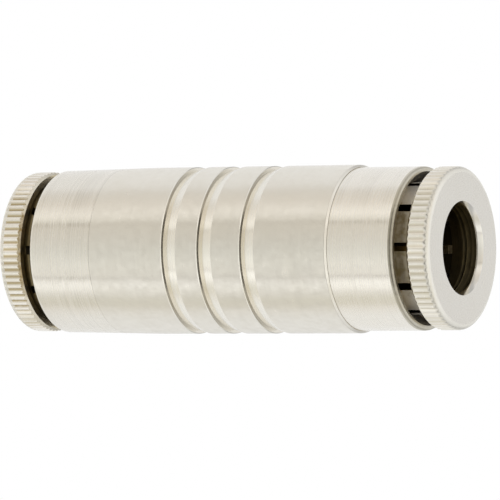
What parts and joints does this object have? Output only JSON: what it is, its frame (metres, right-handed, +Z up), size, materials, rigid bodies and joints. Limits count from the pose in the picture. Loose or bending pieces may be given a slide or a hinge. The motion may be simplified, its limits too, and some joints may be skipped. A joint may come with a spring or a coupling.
{
  "type": "push-to-connect fitting",
  "caption": "Straight all-metal push-to-connect union for plastic air tube, with a grooved round body and a knurled release collet at each end.",
  "frame": {"origin": "middle of the body, on the axis that the tubes lie on", "axes": "+X along the tube axis, out of the right-hand port; +Z up; the object is round about X"},
  "size_m": [0.0336, 0.0116, 0.0116],
  "materials": {
    "nickel_body": "nickel-plated brass, turned, slightly mottled",
    "nickel_cap": "nickel-plated brass, fine turning marks",
    "nickel_collet": "nickel-plated brass, smooth face, straight knurl",
    "plain_brass": "unplated turned brass",
    "seal_rubber": "matt nitrile rubber"
  },
  "bodies": {
    "housing": {"body": "nickel_body", "end_cap_left": "nickel_cap", "end_cap_right": "nickel_cap", "support_washer_left": "plain_brass", "support_washer_right": "plain_brass", "o_ring_left": "seal_rubber", "o_ring_right": "seal_rubber"},
    "release_collet_left": {"collet_left": "nickel_collet"},
    "release_collet_right": {"collet_right": "nickel_collet"}
  },
  "joints": [
    {"name": "collet_left_push", "type": "slide", "parent": "housing", "child": "release_collet_left", "axis": [1, 0, 0], "range_m": [-0.0003, 0.00074]},
    {"name": "collet_right_push", "type": "slide", "parent": "housing", "child": "release_collet_right", "axis": [-1, 0, 0], "range_m": [0, 0.0009]}
  ]
}
